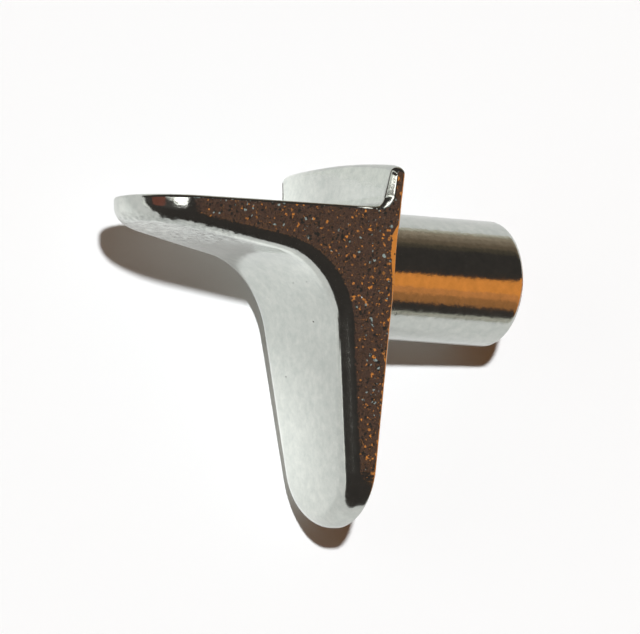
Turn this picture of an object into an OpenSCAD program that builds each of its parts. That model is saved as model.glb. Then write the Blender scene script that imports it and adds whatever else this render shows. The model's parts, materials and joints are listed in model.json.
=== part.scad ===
// Shelf support pin: an L-shaped bracket and a round pin, cast in one piece.
//
// Frame: the origin is on the pin's axis, at the back face that sits against the cabinet side.
// +X runs along the pin into the cabinet side, +Z is up and Y is across the bracket.
// The ledge that carries the shelf reaches out along -X, and the plate hangs down along -Z.

/* [Pin] */
// Diameter of the pin, for a 5 mm hole
pin_d = 4.9; // [4.6:0.05:5.2]
// Length of the pin from the back face
pin_length = 6.8; // [5:0.1:10]
// Radius of the rounding at the pin's free end
pin_end_round = 0.25; // [0.1:0.05:0.5]

/* [Plate] */
// Depth of the plate's lower end below the pin's axis
plate_drop = 9.9; // [8.5:0.1:11.5]
// Width of the bracket where the ledge meets the back face
bracket_width = 7.5; // [6.8:0.1:8.2]
// Angle at which each side leans in going down the plate, in degrees
plate_taper = 7; // [4:0.5:9]
// Thickness of the plate at its lower end
plate_end_thickness = 0.9; // [0.85:0.05:1.1]
// Angle of the plate's front to the back face, in degrees
plate_front_angle = 8.5; // [5:0.5:9.5]

/* [Ledge] */
// Height of the ledge's top above the pin's axis
ledge_height = 2.35; // [2:0.05:3.2]
// Reach of the ledge from the back face
ledge_reach = 10.3; // [9.8:0.1:13]
// Angle at which each side leans in going out along the ledge, in degrees
ledge_taper = 9; // [6:0.5:10]
// Thickness of the ledge at its tip
ledge_end_thickness = 0.9; // [0.85:0.05:1.2]
// Angle of the ledge's underside to its top, in degrees
ledge_under_angle = 9.5; // [6:0.5:11]
// Radius of the large fillet inside the L
web_fillet = 3.3; // [2.5:0.1:3.6]

/* [Lip] */
// Height of the lip above the ledge, at its middle
lip_height = 1.8; // [1.5:0.1:3]
// Thickness of the lip at its top
lip_thickness = 0.5; // [0.5:0.05:0.9]
// Angle at which the lip's front leans back, in degrees
lip_lean = 6; // [5:0.5:8]
// Radius of the fillet between the lip and the ledge
lip_fillet = 0.45; // [0.25:0.05:0.55]
// Radius along the lip's top edges
lip_round = 0.24; // [0.2:0.01:0.24]
// Radius of the lip's two upright edges, in front
lip_edge_round = 0.28; // [0.15:0.01:0.28]
// Drop of the lip's top from its middle to its corners
lip_arch = 0.2; // [0.05:0.05:0.3]
// Further drop of the lip's top right at its corners
lip_corner_drop = 0.12; // [0.02:0.02:0.14]

/* [Edges] */
// Radius along the inner edges, on the ledge's underside and the plate's front
inner_round = 0.56; // [0.42:0.02:0.58]
// Radius of the inner edge round the two tips
inner_tip_round = 0.6; // [0.3:0.05:0.6]
// Radius along the ledge's top edges
outer_round = 0.13; // [0.05:0.01:0.18]
// Radius along the back face's edges, at the lip and below the pin
back_round = 0.2; // [0.1:0.02:0.22]
// Radius of the outer edge round the two tips
outer_tip_round = 0.14; // [0.1:0.02:0.2]

/* [Smoothness] */
// Steps round each half of a tip
tip_steps = 14; // [6:1:20]
// Steps round the large fillet
web_steps = 26; // [8:1:40]
// Steps across an edge's radius
edge_steps = 6; // [3:1:8]
// Steps across the lip's arched top
arch_steps = 16; // [6:2:24]

/* [Hidden] */

NICKEL = [0.78, 0.77, 0.74];

PIN_ROOT = 0.3;      // how far the pin's cylinder starts inside the plate
PIN_FACETS = 96;
SMALL_STEPS = 4;     // steps round the lip's small radii
HUB_DEPTH = 0.8;     // depth below the ledge's top of the point where the side face's corner is split
HUB_GAP = 0.65;      // and its distance from the back face
BACK_START = 0.25;   // height above the ledge's top from which the back's edges take their own radius
TOP_EDGE_SHARE = 0.9;   // edge radius at the lip's top corners, as a share of the radius over its top
CORNER_POWER = 20;      // how suddenly the lip's top falls at its corners
// The back's edges swell beside the pin: [share of the way down from the lip's foot, times back_round]
BACK_SWELL = [[0, 1.2], [0.33, 2.1], [0.78, 1.5], [1, 1]];

lip_top = ledge_height + lip_height;
half_root = bracket_width / 2;
lean = 1 / cos(ledge_taper);   // what an inset square to the side face measures along Y

// ---------- the side view: [x, z] ----------

function unit(angle) = [cos(angle), sin(angle)];

// Half the bracket's width at a point of the side view. Each side face is one flat plane.
function half_width(p) = half_root + p.x * tan(ledge_taper) + (p.y - ledge_height) * tan(plate_taper);

// Height of the ledge's underside, and the plate's front, before the fillet joins them
function underside(x) = ledge_height - ledge_end_thickness - (x + ledge_reach) * tan(ledge_under_angle);
function plate_front(z) = -plate_end_thickness - (z + plate_drop) * tan(plate_front_angle);

// The fillet's centre lies one radius out from both lines.
under_out = [-sin(ledge_under_angle), -cos(ledge_under_angle)];
front_out = [-cos(plate_front_angle), -sin(plate_front_angle)];
under_reach = under_out * [-ledge_reach, underside(-ledge_reach)] + web_fillet;
front_reach = front_out * [plate_front(-plate_drop), -plate_drop] + web_fillet;
crossing = under_out.x * front_out.y - under_out.y * front_out.x;
web_centre = [
    (under_reach * front_out.y - under_out.y * front_reach) / crossing,
    (under_out.x * front_reach - under_reach * front_out.x) / crossing
];

// ---------- the round tips ----------

// Radius of the ledge's round end at height z, and of the plate's at depth x: both touch the side faces.
function ledge_tip_radius(z) = half_width([-ledge_reach, z]) * cos(ledge_taper) / (1 - sin(ledge_taper));
function plate_tip_radius(x) = half_width([x, -plate_drop]) * cos(plate_taper) / (1 - sin(plate_taper));

// Directions round half a tip, from just beside its middle to where it meets the straight side
function tip_angles(taper) = [for (i = [0:tip_steps - 1]) 90 - (i + 0.5) * (90 - taper) / (tip_steps - 0.5)];
ledge_angles = tip_angles(ledge_taper);
plate_angles = [for (i = [tip_steps - 1:-1:0]) tip_angles(plate_taper)[i]];

// An edge radius that changes smoothly from its value along the sides to its value at the middle of a tip
function tip_round(angle, taper, side, tip) =
    side + (tip - side) * (1 - cos(180 * (angle - taper) / (90 - taper))) / 2;

// Points of a tip's outline, set in by "inset" from the wall, at height z or depth x
function on_ledge_tip(angle, z, inset) =
    let (r = ledge_tip_radius(z))
    [-ledge_reach + r - (r - inset) * sin(angle), (r - inset) * cos(angle), z];
function on_plate_tip(angle, x, inset) =
    let (r = plate_tip_radius(x))
    [x, (r - inset) * cos(angle), -plate_drop + r - (r - inset) * sin(angle)];

// A point of the straight side, set in from it
function on_side(p, inset) = [p.x, half_width(p) - inset * lean, p.y];

// ---------- the inner edge ----------
// "turn" runs round the edge's radius: 0 on the side wall and 90 on the inner face.

function inner_ledge_point(angle, turn) =
    let (
        r = tip_round(angle, ledge_taper, inner_round, inner_tip_round),
        rise = r * (1 - sin(turn)),
        inset = r * (1 - cos(turn)),
        near = on_ledge_tip(angle, underside(-ledge_reach) + rise, inset),
        p = on_ledge_tip(angle, underside(near.x) + rise, inset)
    )
    [p.x, p.y, underside(p.x) + rise];

function inner_plate_point(angle, turn) =
    let (
        r = tip_round(angle, plate_taper, inner_round, inner_tip_round),
        rise = r * (1 - sin(turn)),
        inset = r * (1 - cos(turn)),
        near = on_plate_tip(angle, plate_front(-plate_drop) + rise, inset),
        p = on_plate_tip(angle, plate_front(near.z) + rise, inset)
    )
    [plate_front(p.z) + rise, p.y, p.z];

function inner_web_point(angle, turn) =
    on_side(
        web_centre + (web_fillet + inner_round * (1 - sin(turn))) * unit(angle),
        inner_round * (1 - cos(turn))
    );

function inner_line(turn) = concat(
    [for (a = ledge_angles) inner_ledge_point(a, turn)],
    [for (i = [0:web_steps])
        inner_web_point(
            90 - ledge_under_angle - i * (90 - ledge_under_angle - plate_front_angle) / web_steps,
            turn
        )
    ],
    [for (a = plate_angles) inner_plate_point(a, turn)]
);

// ---------- the outer edge ----------
// "turn" runs round the edge's radius: 0 on the side wall and 90 on the outer face.

function outer_ledge_point(angle, turn) =
    let (r = tip_round(angle, ledge_taper, outer_round, outer_tip_round))
    on_ledge_tip(angle, ledge_height - r * (1 - sin(turn)), r * (1 - cos(turn)));

function outer_plate_point(angle, turn) =
    let (r = tip_round(angle, plate_taper, back_round, outer_tip_round))
    on_plate_tip(angle, -r * (1 - sin(turn)), r * (1 - cos(turn)));

// Depth at height z of a point that lies "gap" in front of the lip's leaning front
function lip_front(z, gap) = -lip_thickness - (lip_top - z) * tan(lip_lean) - gap / cos(lip_lean);

// Stops on the way over the lip, each as [place, direction out of the metal, edge radius, share of the arch].
// Its foot curves up out of the ledge, and its top curves over the front edge and the back one.
function foot_stop(share) =
    let (a = upright_turn * (share - 1) - lip_lean)
    [foot_centre + lip_fillet * unit(a), -unit(a), outer_round + (lip_edge_round - outer_round) * share, 0];
function top_stop(centre, angle) = [centre + lip_round * unit(angle), unit(angle), top_edge, 1];

upright_turn = 90 - lip_lean;
foot_centre = [lip_front(ledge_height + lip_fillet, lip_fillet), ledge_height + lip_fillet];
top_height = lip_top - lip_round;
top_front = [lip_front(top_height, -lip_round), top_height];
top_edge = lip_round * TOP_EDGE_SHARE;
back_from = ledge_height + BACK_START;
web_end = web_centre + web_fillet * unit(plate_front_angle);
over_lip = concat(
    [for (i = [0:SMALL_STEPS]) foot_stop(i / SMALL_STEPS)],
    [for (i = [SMALL_STEPS:-1:0]) top_stop(top_front, 90 + upright_turn * i / SMALL_STEPS)],
    [for (i = [SMALL_STEPS:-1:0]) top_stop([-lip_round, top_height], 90 * i / SMALL_STEPS)],
    [for (b = BACK_SWELL) [[0, back_from + (web_end.y - back_from) * b[0]], [1, 0], back_round * b[1], 0]]
);
FOOT_STOPS = SMALL_STEPS + 1;        // stops round the lip's foot
TOP_STOPS = 2 * (SMALL_STEPS + 1);   // stops over the lip's top

// The lip's top falls away slowly from the middle, and faster at the corners. In front it follows the lean.
function arched(p, stop) =
    let (
        from_middle = abs(p.y) / half_width([p.x, p.z]),
        drop = stop[3] * (lip_arch * pow(from_middle, 2) + lip_corner_drop * pow(from_middle, CORNER_POWER))
    )
    p - [drop * tan(lip_lean) * max(0, -stop[1].x), 0, drop];

function outer_lip_point(stop, turn) =
    let (p = stop[0] - stop[1] * stop[2] * (1 - sin(turn)))
    arched(on_side(p, stop[2] * (1 - cos(turn))), stop);

function outer_line(turn) = concat(
    [for (a = ledge_angles) outer_ledge_point(a, turn)],
    [for (s = over_lip) outer_lip_point(s, turn)],
    [for (a = plate_angles) outer_plate_point(a, turn)]
);

// ---------- points and faces ----------

function reversed(list) = [for (i = [len(list) - 1:-1:0]) list[i]];
function mirrored(line) = [for (p = line) [p.x, -p.y, p.z]];
// A line on one side, carried on round the tips and back along the other side
function ring(line) = concat(line, reversed(mirrored(line)));

turns = [for (i = [0:edge_steps]) 90 * i / edge_steps];
inner_rings = [for (t = turns) ring(inner_line(t))];
outer_rings = [for (t = turns) ring(outer_line(t))];
inner_count = len(inner_rings[0]);
outer_count = len(outer_rings[0]);

// The point of each side face that the corner's triangles share
hub_at = [-HUB_GAP, ledge_height - HUB_DEPTH];
hubs = [on_side(hub_at, 0), mirrored([on_side(hub_at, 0)])[0]];

// Points inside the lip's top, between its two side edges
lip_top_from = tip_steps + FOOT_STOPS;
top_columns = [for (j = [1:arch_steps - 1]) cos(180 * j / arch_steps)];
top_points = [
    for (i = [0:TOP_STOPS - 1], c = top_columns)
        let (s = over_lip[FOOT_STOPS + i], edge = on_side(s[0], s[2]))
        arched([edge.x, edge.y * c, edge.z], s)
];

points = concat([for (r = inner_rings) each r], [for (r = outer_rings) each r], hubs, top_points);

outer_start = len(inner_rings) * inner_count;
hub_start = outer_start + len(outer_rings) * outer_count;
top_start = hub_start + len(hubs);

// Index of point i on ring k, on side 0 (+Y) or side 1 (-Y)
function inner_at(k, i, side) = k * inner_count + (side == 0 ? i : inner_count - 1 - i);
function outer_at(k, i, side) = outer_start + k * outer_count + (side == 0 ? i : outer_count - 1 - i);
function top_at(i, j) =
    j == 0 ? outer_at(edge_steps, lip_top_from + i, 0) :
    j == arch_steps ? outer_at(edge_steps, lip_top_from + i, 1) :
    top_start + i * (arch_steps - 1) + j - 1;

// Triangles between two rows of indices, and from one point to a row
function band(a, b) = [for (i = [0:len(a) - 2]) each [[a[i], a[i + 1], b[i + 1]], [a[i], b[i + 1], b[i]]]];
function fan(hub, row) = [for (i = [0:len(row) - 2]) [hub, row[i], row[i + 1]]];
function closed(row) = concat(row, [row[0]]);
function span(from, to) = from <= to ? [for (i = [from:to]) i] : [for (i = [from:-1:to]) i];

inner_last = inner_count / 2 - 1;
outer_last = outer_count / 2 - 1;
inner_web_last = tip_steps + web_steps;
outer_lip_last = tip_steps + len(over_lip) - 1;
lip_back = lip_top_from + TOP_STOPS;

// Each edge's radius
inner_edge_faces = [
    for (k = [0:edge_steps - 1])
        each band(
            closed([for (i = [0:inner_count - 1]) (k + 1) * inner_count + i]),
            closed([for (i = [0:inner_count - 1]) k * inner_count + i])
        )
];
outer_edge_faces = [
    for (k = [0:edge_steps - 1])
        each band(
            closed([for (i = [0:outer_count - 1]) outer_start + k * outer_count + i]),
            closed([for (i = [0:outer_count - 1]) outer_start + (k + 1) * outer_count + i])
        )
];
// The underside, the large fillet and the plate's front
inner_face = band(
    [for (i = [0:inner_last]) inner_at(edge_steps, i, 1)],
    [for (i = [0:inner_last]) inner_at(edge_steps, i, 0)]
);
// The side walls, with the two tips
ledge_wall = band(
    concat(
        [for (i = span(tip_steps, 0)) inner_at(0, i, 1)],
        [for (i = span(0, tip_steps)) inner_at(0, i, 0)]
    ),
    concat(
        [for (i = span(tip_steps, 0)) outer_at(0, i, 1)],
        [for (i = span(0, tip_steps)) outer_at(0, i, 0)]
    )
);
plate_wall = band(
    concat(
        [for (i = span(inner_web_last, inner_last)) inner_at(0, i, 0)],
        [for (i = span(inner_last, inner_web_last)) inner_at(0, i, 1)]
    ),
    concat(
        [for (i = span(outer_lip_last, outer_last)) outer_at(0, i, 0)],
        [for (i = span(outer_last, outer_lip_last)) outer_at(0, i, 1)]
    )
);
// Below the lip, each side is a fan round its hub. The lip's own side is a fan from its back edge.
corner_walls = concat(
    fan(hub_start, [for (i = span(tip_steps, inner_web_last)) inner_at(0, i, 0)]),
    fan(hub_start, [for (i = span(outer_lip_last, lip_back)) outer_at(0, i, 0)]),
    fan(hub_start, [for (i = span(lip_top_from - 1, tip_steps)) outer_at(0, i, 0)]),
    fan(outer_at(0, lip_back, 0), [for (i = span(lip_back - 1, lip_top_from - 1)) outer_at(0, i, 0)]),
    fan(hub_start + 1, [for (i = span(inner_web_last, tip_steps)) inner_at(0, i, 1)]),
    fan(hub_start + 1, [for (i = span(lip_back, outer_lip_last)) outer_at(0, i, 1)]),
    fan(hub_start + 1, [for (i = span(tip_steps, lip_top_from - 1)) outer_at(0, i, 1)]),
    fan(outer_at(0, lip_back, 1), [for (i = span(lip_top_from - 1, lip_back - 1)) outer_at(0, i, 1)]),
    [
        [hub_start, outer_at(0, tip_steps, 0), inner_at(0, tip_steps, 0)],
        [hub_start, outer_at(0, lip_back, 0), outer_at(0, lip_top_from - 1, 0)],
        [hub_start, inner_at(0, inner_web_last, 0), outer_at(0, outer_lip_last, 0)],
        [hub_start + 1, inner_at(0, tip_steps, 1), outer_at(0, tip_steps, 1)],
        [hub_start + 1, outer_at(0, lip_top_from - 1, 1), outer_at(0, lip_back, 1)],
        [hub_start + 1, outer_at(0, outer_lip_last, 1), inner_at(0, inner_web_last, 1)]
    ]
);
// The outer faces: the ledge's top, the lip's foot, front and top, and the back
ledge_top_face = [
    concat(
        [for (i = span(0, tip_steps)) outer_at(edge_steps, i, 0)],
        [for (i = span(tip_steps, 0)) outer_at(edge_steps, i, 1)]
    )
];
lip_foot_faces = band(
    [for (i = span(tip_steps, lip_top_from - 1)) outer_at(edge_steps, i, 0)],
    [for (i = span(tip_steps, lip_top_from - 1)) outer_at(edge_steps, i, 1)]
);
lip_front_face = [
    concat(
        [outer_at(edge_steps, lip_top_from - 1, 1), outer_at(edge_steps, lip_top_from - 1, 0)],
        [for (j = [0:arch_steps]) top_at(0, j)]
    )
];
lip_top_faces = [
    for (i = [0:TOP_STOPS - 2])
        each band([for (j = [0:arch_steps]) top_at(i + 1, j)], [for (j = [0:arch_steps]) top_at(i, j)])
];
back_face = [
    concat(
        [for (j = [0:arch_steps]) top_at(TOP_STOPS - 1, arch_steps - j)],
        [for (i = span(lip_back, outer_last)) outer_at(edge_steps, i, 0)],
        [for (i = span(outer_last, lip_back)) outer_at(edge_steps, i, 1)]
    )
];

// The bracket is one closed skin, drawn through its edge lines.
module bracket() {
    polyhedron(
        points = points,
        faces = concat(
            inner_edge_faces, outer_edge_faces, inner_face,
            ledge_wall, plate_wall, corner_walls,
            ledge_top_face, lip_foot_faces, lip_front_face, lip_top_faces, back_face
        ),
        convexity = 4
    );
}

// The pin is turned about its own axis, with a small radius at its free end.
module pin() {
    r = pin_d / 2;
    end_arc = [
        for (i = [0:SMALL_STEPS])
            [r - pin_end_round, pin_length - pin_end_round] + pin_end_round * unit(90 * i / SMALL_STEPS)
    ];
    rotate([0, 90, 0])
        rotate_extrude($fn = PIN_FACETS)
            polygon(concat([[0, -PIN_ROOT], [r, -PIN_ROOT]], end_arc, [[0, pin_length]]));
}

module support_pin() {
    color(NICKEL) {
        union() {
            bracket();
            pin();
        }
    }
}

support_pin();
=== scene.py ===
# %% [markdown]
# # A shelf support pin, die cast and nickel plated
#
# This small casting carries one corner of a cabinet shelf. The round pin goes into a hole in the cabinet's side, the
# shelf rests on the flat ledge, and the plate below takes the turning force against the cabinet. This lesson loads the
# measured solid, draws a finer skin to the same sizes, gives it its plated finish, lays it on a white table and lights
# it. The solid comes first, because all the rest is measured against it.

# %% Load the measured solid
import json
import math

import bmesh
import bpy
import numpy as np
from mathutils import Matrix, Vector, noise
from mathutils.geometry import delaunay_2d_cdt


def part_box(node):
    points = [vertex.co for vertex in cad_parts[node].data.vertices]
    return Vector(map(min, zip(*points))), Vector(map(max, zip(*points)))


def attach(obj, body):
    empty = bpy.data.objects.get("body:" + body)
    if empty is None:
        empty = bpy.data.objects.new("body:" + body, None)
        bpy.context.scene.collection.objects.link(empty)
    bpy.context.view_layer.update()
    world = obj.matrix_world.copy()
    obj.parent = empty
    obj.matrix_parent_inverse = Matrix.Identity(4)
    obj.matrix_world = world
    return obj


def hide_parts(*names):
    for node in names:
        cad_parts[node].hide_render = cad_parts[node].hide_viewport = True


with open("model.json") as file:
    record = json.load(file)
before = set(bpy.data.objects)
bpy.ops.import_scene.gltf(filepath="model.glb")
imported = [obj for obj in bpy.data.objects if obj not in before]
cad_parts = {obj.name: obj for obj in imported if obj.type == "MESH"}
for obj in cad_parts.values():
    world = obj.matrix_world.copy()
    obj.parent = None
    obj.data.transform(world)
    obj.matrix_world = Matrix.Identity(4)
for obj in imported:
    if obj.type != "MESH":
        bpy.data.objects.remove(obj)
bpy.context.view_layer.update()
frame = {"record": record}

MM = 0.001
low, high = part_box("support_pin")
print("the solid is", [round(side / MM, 2) for side in high - low], "mm along X, Y and Z")

# %% [markdown]
# ## The sizes
#
# The pin's sizes and the heights of the lip and the ledge are read from the loaded solid and its record, so the skin
# can't drift away from them. The others are the casting's own: how far the arms reach, how thick they are at their
# tips, how fast they swell towards the root, and how large each edge radius is. All are in millimetres and degrees.

# %% Sizes of the bracket and the pin
mounts = {mount["name"]: mount for mount in frame["record"]["mounts"]}
PIN_LENGTH, LIP_TOP = high.x / MM, high.z / MM
PIN_RADIUS = mounts["pin"]["dims"]["r_mm"]
PIN_END_ROUND = 0.25

LEDGE_HEIGHT = mounts["shelf_seat"]["pos_m"][2] / MM
LEDGE_REACH, PLATE_DROP = 10.3, 9.9     # from the plate's back and from the pin's axis
LEDGE_END_THICKNESS, LEDGE_UNDER_ANGLE, LEDGE_TAPER = 0.9, 9.5, 9.0
PLATE_END_THICKNESS, PLATE_FRONT_ANGLE, PLATE_TAPER = 0.9, 8.5, 7.0
HALF_ROOT = 3.75                        # half the width where the ledge's top meets the back
WEB_FILLET = 3.3                        # between the ledge's underside and the plate's front

LIP_THICKNESS, LIP_LEAN, LIP_FILLET, LIP_ROUND = 0.5, 6.0, 0.45, 0.24
LIP_ARCH, LIP_CORNER_DROP, LIP_CORNER_POWER, LIP_EDGE_ROUND = 0.2, 0.12, 20, 0.22
LIP_BEVEL, LIP_BEVEL_TURN, LIP_TOP_EDGE, BACK_TOP_EDGE = 0.16, 34.0, 0.12, 0.08
INNER_ROUND, INNER_TIP_ROUND = 0.56, 0.6
OUTER_ROUND, OUTER_TIP_ROUND, BACK_ROUND = 0.13, 0.14, 0.08
print("the ledge is", round(LEDGE_HEIGHT, 2), "mm above the pin's axis, and the lip", round(LIP_TOP, 2))

# %% [markdown]
# ## The side view
#
# Seen from the side the bracket is an L whose arms swell towards the corner: the ledge's underside and the plate's
# front are straight lines, joined by one large fillet. Both sides lean in towards the tips, so that the width at any
# place is one simple sum. With these few rules every point of the skin can be worked out.

# %% Lines of the side view
def step_up(values, first, last):
    """0 below first, 1 above last, and a smooth step between."""
    t = np.clip((values - first) / (last - first), 0, 1)
    return t * t * (3 - 2 * t)


def tan(angle):
    return math.tan(math.radians(angle))


def unit(angle):
    """A step of length one in a direction given in degrees."""
    return np.array([math.cos(math.radians(angle)), math.sin(math.radians(angle))])


def half_width(x, z):
    """Half the bracket's width at a place in the side view."""
    return HALF_ROOT + x * tan(LEDGE_TAPER) + (z - LEDGE_HEIGHT) * tan(PLATE_TAPER)


def underside(x):
    """Height of the ledge's underside."""
    return LEDGE_HEIGHT - LEDGE_END_THICKNESS - (x + LEDGE_REACH) * tan(LEDGE_UNDER_ANGLE)


def plate_front(z):
    """Place of the plate's front."""
    return -PLATE_END_THICKNESS - (z + PLATE_DROP) * tan(PLATE_FRONT_ANGLE)


WEB_FROM, WEB_TO = 90 - LEDGE_UNDER_ANGLE, PLATE_FRONT_ANGLE     # directions from the fillet's centre
outward = np.array([-unit(WEB_FROM), -unit(WEB_TO)])
lines_at = np.array([[-LEDGE_REACH, underside(-LEDGE_REACH)], [plate_front(-PLATE_DROP), -PLATE_DROP]])
web_centre = np.linalg.solve(outward, (outward * lines_at).sum(1) + WEB_FILLET)
print("the large fillet's centre is at x, z =", web_centre.round(3))

# %% [markdown]
# ## Lines that run along the edges
#
# A casting has no sharp edges, because the molten metal must flow and the mould must let go. So each edge is drawn
# as a sheaf of lines: the first runs along the side wall, the last along the face, and those between turn round the
# edge's radius. Both outlines, the inner and the outer, go round a tip as half circles that touch the leaning sides.

# %% Points round the two tips
TIP_STEPS, WEB_STEPS, STRAIGHT_STEPS, EDGE_STEPS = 22, 44, 36, 15


def tip_angles(taper):
    """Directions round half a tip, from just beside its middle to where it meets the straight side."""
    step = (90 - taper) / (TIP_STEPS - 0.5)
    return [90 - (i + 0.5) * step for i in range(TIP_STEPS)]


def tip_round(angle, taper, side, tip):
    """An edge radius that changes smoothly from its value along the sides to its value at a tip's middle."""
    share = (angle - taper) / (90 - taper)
    return side + (tip - side) * (1 - math.cos(math.pi * share)) / 2


def round_tip(width, taper, angle, inset):
    """How far a point of a round tip is from the tip's end, and from its middle."""
    c, s = unit(taper)
    radius = width * c / (1 - s)
    across, along = unit(angle)
    return radius - (radius - inset) * along, (radius - inset) * across


def on_ledge_tip(angle, z, inset):
    """A point at this height on the wall of the ledge's tip, set in from it."""
    along, across = round_tip(half_width(-LEDGE_REACH, z), LEDGE_TAPER, angle, inset)
    return np.array([-LEDGE_REACH + along, across, z])


def on_plate_tip(angle, x, inset):
    """The same on the wall of the plate's tip."""
    along, across = round_tip(half_width(x, -PLATE_DROP), PLATE_TAPER, angle, inset)
    return np.array([x, across, -PLATE_DROP + along])


def on_side(x, z, inset):
    """A point of the flat side, set in from it."""
    return np.array([x, half_width(x, z) - inset / math.cos(math.radians(LEDGE_TAPER)), z])


def between(a, b, steps):
    """Evenly spaced points between a and b, without the two ends."""
    return [a + (b - a) * i / steps for i in range(1, steps)]


def joined(corners, steps):
    """Evenly spaced points along a line with corners, its corners among them."""
    line = [corners[0]]
    for a, b in zip(corners, corners[1:]):
        line += between(a, b, steps) + [b]
    return line


# %% [markdown]
# The inner edge runs along the ledge's underside, through the large fillet and down the plate's front. Its radius is
# over half a millimetre, so that the arms feel soft. The underside and the front slope, so a tip's point is placed
# twice: once roughly, and once at the height of its rough place.

# %% The inner edge
def inner_line(turn):
    """One line of the sheaf from tip to tip. It is on the side wall at no turn, and on the face at a quarter turn."""
    rise, inset = 1 - math.sin(turn), 1 - math.cos(turn)
    ledge, plate = [], []
    for angle in tip_angles(LEDGE_TAPER):
        r = tip_round(angle, LEDGE_TAPER, INNER_ROUND, INNER_TIP_ROUND)
        near = on_ledge_tip(angle, underside(-LEDGE_REACH) + r * rise, r * inset)
        p = on_ledge_tip(angle, underside(near[0]) + r * rise, r * inset)
        ledge.append(np.array([p[0], p[1], underside(p[0]) + r * rise]))
    for angle in reversed(tip_angles(PLATE_TAPER)):
        r = tip_round(angle, PLATE_TAPER, INNER_ROUND, INNER_TIP_ROUND)
        near = on_plate_tip(angle, plate_front(-PLATE_DROP) + r * rise, r * inset)
        p = on_plate_tip(angle, plate_front(near[2]) + r * rise, r * inset)
        plate.append(np.array([plate_front(p[2]) + r * rise, p[1], p[2]]))
    web = [
        on_side(*(web_centre + (WEB_FILLET + INNER_ROUND * rise) * unit(a)), INNER_ROUND * inset)
        for a in np.linspace(WEB_FROM, WEB_TO, WEB_STEPS + 1)
    ]
    return (
        ledge + between(ledge[-1], web[0], STRAIGHT_STEPS)
        + web + between(web[-1], plate[0], STRAIGHT_STEPS) + plate
    )


# %% [markdown]
# The outer edge runs along the ledge's top, over the lip and down the back. Its radii are tight, a tenth of a
# millimetre or so, with a narrow flat bevel on the lip's near corner and one on the back edge beside the pin. The way
# over the lip is kept as a list of stops, because each has its own edge radius and bevel.

# %% Stops over the lip and down the back
SMALL_STEPS, LIP_ROWS, BACK_STEPS = 6, 12, 14


def stops(centre, radius, directions, edges, bevels, arched):
    """Stops round one small radius of the lip. Directions, edges and bevels give their first value and their last.

    A stop is a place, the way out of the metal, the edge radius, the bevel's width and turn, and the share of arch.
    """
    sign = 1 if directions[1] < directions[0] else -1      # a fillet turns the other way
    turned, edge, bevel = (np.linspace(*ends, SMALL_STEPS + 1) for ends in (directions, edges, bevels))
    return [
        (np.array(centre) + radius * unit(a), sign * unit(a), e, b, LIP_BEVEL_TURN, arched)
        for a, e, b in zip(turned, edge, bevel)
    ]


def lip_front(z, gap):
    """Place at a height that is this far in front of the lip's leaning front."""
    return -LIP_THICKNESS - (LIP_TOP - z) * tan(LIP_LEAN) - gap / math.cos(math.radians(LIP_LEAN))


foot_height, top_height = LEDGE_HEIGHT + LIP_FILLET, LIP_TOP - LIP_ROUND
over_lip = (
    stops((lip_front(foot_height, LIP_FILLET), foot_height), LIP_FILLET, (-90, -LIP_LEAN),
          (OUTER_ROUND, LIP_EDGE_ROUND), (0, LIP_BEVEL), 0)
    + stops((lip_front(top_height, -LIP_ROUND), top_height), LIP_ROUND, (180 - LIP_LEAN, 90),
            (LIP_TOP_EDGE, LIP_TOP_EDGE), (LIP_BEVEL, 0), 1)
    + stops((-LIP_ROUND, top_height), LIP_ROUND, (90, 0), (LIP_TOP_EDGE, BACK_TOP_EDGE), (0, 0), 1)
)
web_end = web_centre + WEB_FILLET * unit(WEB_TO)
BACK_START, BACK_BEVEL_TURN = 0.25, 13.0     # height above the ledge's top, and the bevel's lean
BACK_EDGE = [                                # share of the way down, radius, and width of the flat bevel beside it
    (0, 0.08, 0), (0.18, 0.08, 0), (0.27, 0.08, 0.22), (0.42, 0.08, 0.20), (0.58, 0.06, 0.08), (0.78, 0.06, 0),
    (1, BACK_ROUND, 0),
]
back_from = LEDGE_HEIGHT + BACK_START
back_stops = []
for share, radius, bevel in BACK_EDGE:
    place = np.array([0, back_from + (web_end[1] - back_from) * share])
    back_stops.append((place, np.array([1.0, 0.0]), radius, bevel, BACK_BEVEL_TURN, 0))
print(len(over_lip), "stops over the lip and", len(back_stops), "down the back")

# %% [markdown]
# A bevel splits the edge's quarter turn: the line goes round as far as the bevel's own lean, then straight along the
# bevel, then round the rest. The lip's top is arched, and it falls away faster at its corners.

# %% The outer edge
BEVEL_BLEND = 7.0     # degrees of turn before and after the bevel's lean in which the line goes along it


def over_lip_point(stop, turn, across=1.0):
    """A point of the way over the lip: at a stop, so far round the edge, and at a share of the half width."""
    place, out, edge, bevel, bevel_turn, arched = stop
    over = float(step_up(math.degrees(turn), bevel_turn - BEVEL_BLEND, bevel_turn + BEVEL_BLEND))
    bevel_in, bevel_off = bevel * unit(bevel_turn)
    x, z = place - out * (edge * (1 - math.sin(turn)) + bevel_in * (1 - over))
    p = on_side(x, z, edge * (1 - math.cos(turn)) + bevel_off * over)
    p[1] *= across
    from_middle = abs(p[1]) / half_width(x, z)
    drop = arched * (LIP_ARCH * from_middle ** 2 + LIP_CORNER_DROP * from_middle ** LIP_CORNER_POWER)
    p[0] -= drop * tan(LIP_LEAN) * max(0, -out[0])
    p[2] -= drop
    return p


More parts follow.
